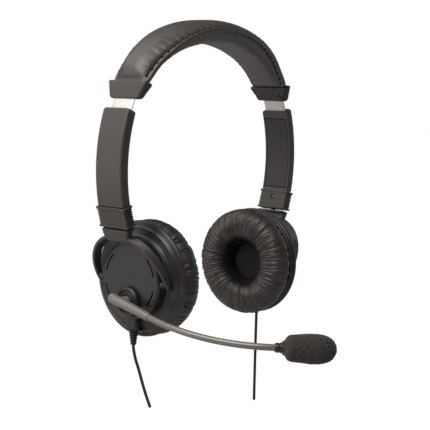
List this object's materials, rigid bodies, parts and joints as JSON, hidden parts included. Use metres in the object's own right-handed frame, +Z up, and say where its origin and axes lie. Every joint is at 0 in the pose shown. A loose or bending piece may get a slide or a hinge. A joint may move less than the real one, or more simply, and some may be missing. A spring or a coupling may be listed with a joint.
{
  "type": "office headset",
  "caption": "Over-the-head wired office headset: padded headband, sliding arms, swivelling and tilting on-ear cups, and a turning microphone boom with a foam windscreen.",
  "frame": {"origin": "middle of the flat part of the headband's underside, halfway between the two sides and on the front-to-back mid plane; the ear cups' centres are 145.9 mm below it", "axes": "+X towards the plain ear cup, so the boom's cup is at -X; -Y the way the wearer's face looks; +Z up. Left and right in the names are as seen from the front (left is -X, on the wearer's right ear)"},
  "size_m": [0.1774, 0.164, 0.2611],
  "materials": {
    "shell": "satin",
    "inner_shell": "matte",
    "leatherette": "satin",
    "cushion_leatherette": "satin",
    "foam": "matte",
    "mic_foam": "matte",
    "band_steel": "brushed",
    "screw_steel": "satin",
    "magnet": "satin",
    "film": "gloss",
    "cloth": "matte",
    "boom_tube": "satin",
    "cable_rubber": "satin"
  },
  "bodies": {
    "headband": {"headband_spring_band": "band_steel", "headband_top_cover": "leatherette", "headband_lower_cover": "leatherette", "headband_foam": "foam", "left_end_cap_outer": "shell", "left_end_cap_inner": "inner_shell", "left_cap_screw_front": "screw_steel", "left_cap_screw_rear": "screw_steel", "right_end_cap_outer": "shell", "right_end_cap_inner": "inner_shell", "right_cap_screw_front": "screw_steel", "right_cap_screw_rear": "screw_steel"},
    "left_arm": {"left_arm_shell": "shell", "left_arm_inner_cover": "inner_shell", "left_detent_spring": "band_steel", "left_collar": "shell", "left_collar_screw": "screw_steel"},
    "left_yoke": {"left_yoke": "shell", "left_swivel_clip": "band_steel", "left_pivot_pin_front": "screw_steel", "left_pivot_pin_rear": "screw_steel"},
    "left_cup": {"left_cup_housing": "shell", "left_cup_cover": "shell", "left_baffle": "inner_shell", "left_driver_frame": "inner_shell", "left_driver_magnet": "magnet", "left_driver_diaphragm": "film", "left_grille_cloth": "cloth", "left_ear_cushion": "cushion_leatherette", "left_strain_relief": "cable_rubber", "left_cable": "cable_rubber"},
    "right_arm": {"right_arm_shell": "shell", "right_arm_inner_cover": "inner_shell", "right_detent_spring": "band_steel", "right_collar": "shell", "right_collar_screw": "screw_steel"},
    "right_yoke": {"right_yoke": "shell", "right_swivel_clip": "band_steel", "right_pivot_pin_front": "screw_steel", "right_pivot_pin_rear": "screw_steel"},
    "right_cup": {"right_cup_housing": "shell", "right_cup_cover": "shell", "right_baffle": "inner_shell", "right_driver_frame": "inner_shell", "right_driver_magnet": "magnet", "right_driver_diaphragm": "film", "right_grille_cloth": "cloth", "right_ear_cushion": "cushion_leatherette", "right_strain_relief": "cable_rubber", "right_cable": "cable_rubber"},
    "boom": {"boom_pivot_disc": "shell", "boom_pivot_screw": "screw_steel", "boom_base_outer": "shell", "boom_base_inner": "inner_shell", "boom_tube": "boom_tube", "mic_neck": "shell", "mic_capsule": "magnet", "mic_windscreen": "mic_foam"}
  },
  "joints": [
    {"name": "left_arm_slide", "type": "hinge", "parent": "headband", "child": "left_arm", "pos_m": [0.0154, 0, -0.07676], "axis": [0, -1, 0], "range_deg": [-2.9, 16]},
    {"name": "left_yoke_swivel", "type": "hinge", "parent": "left_arm", "child": "left_yoke", "pos_m": [-0.07895, 0, -0.11221], "axis": [-0.2857, 0, 0.9583], "range_deg": [-20, 20]},
    {"name": "left_cup_tilt", "type": "hinge", "parent": "left_yoke", "child": "left_cup", "pos_m": [-0.065, 0, -0.14591], "axis": [0, 1, 0], "range_deg": [-12, 12]},
    {"name": "right_arm_slide", "type": "hinge", "parent": "headband", "child": "right_arm", "pos_m": [-0.0154, 0, -0.07676], "axis": [0, 1, 0], "range_deg": [-2.9, 16]},
    {"name": "right_yoke_swivel", "type": "hinge", "parent": "right_arm", "child": "right_yoke", "pos_m": [0.07895, 0, -0.11221], "axis": [0.2857, 0, 0.9583], "range_deg": [-20, 20]},
    {"name": "right_cup_tilt", "type": "hinge", "parent": "right_yoke", "child": "right_cup", "pos_m": [0.065, 0, -0.14591], "axis": [0, -1, 0], "range_deg": [-12, 12]},
    {"name": "boom_turn", "type": "hinge", "parent": "left_cup", "child": "boom", "pos_m": [-0.0685, 0, -0.15871], "axis": [1, 0, 0], "range_deg": [-48, 200]}
  ]
}
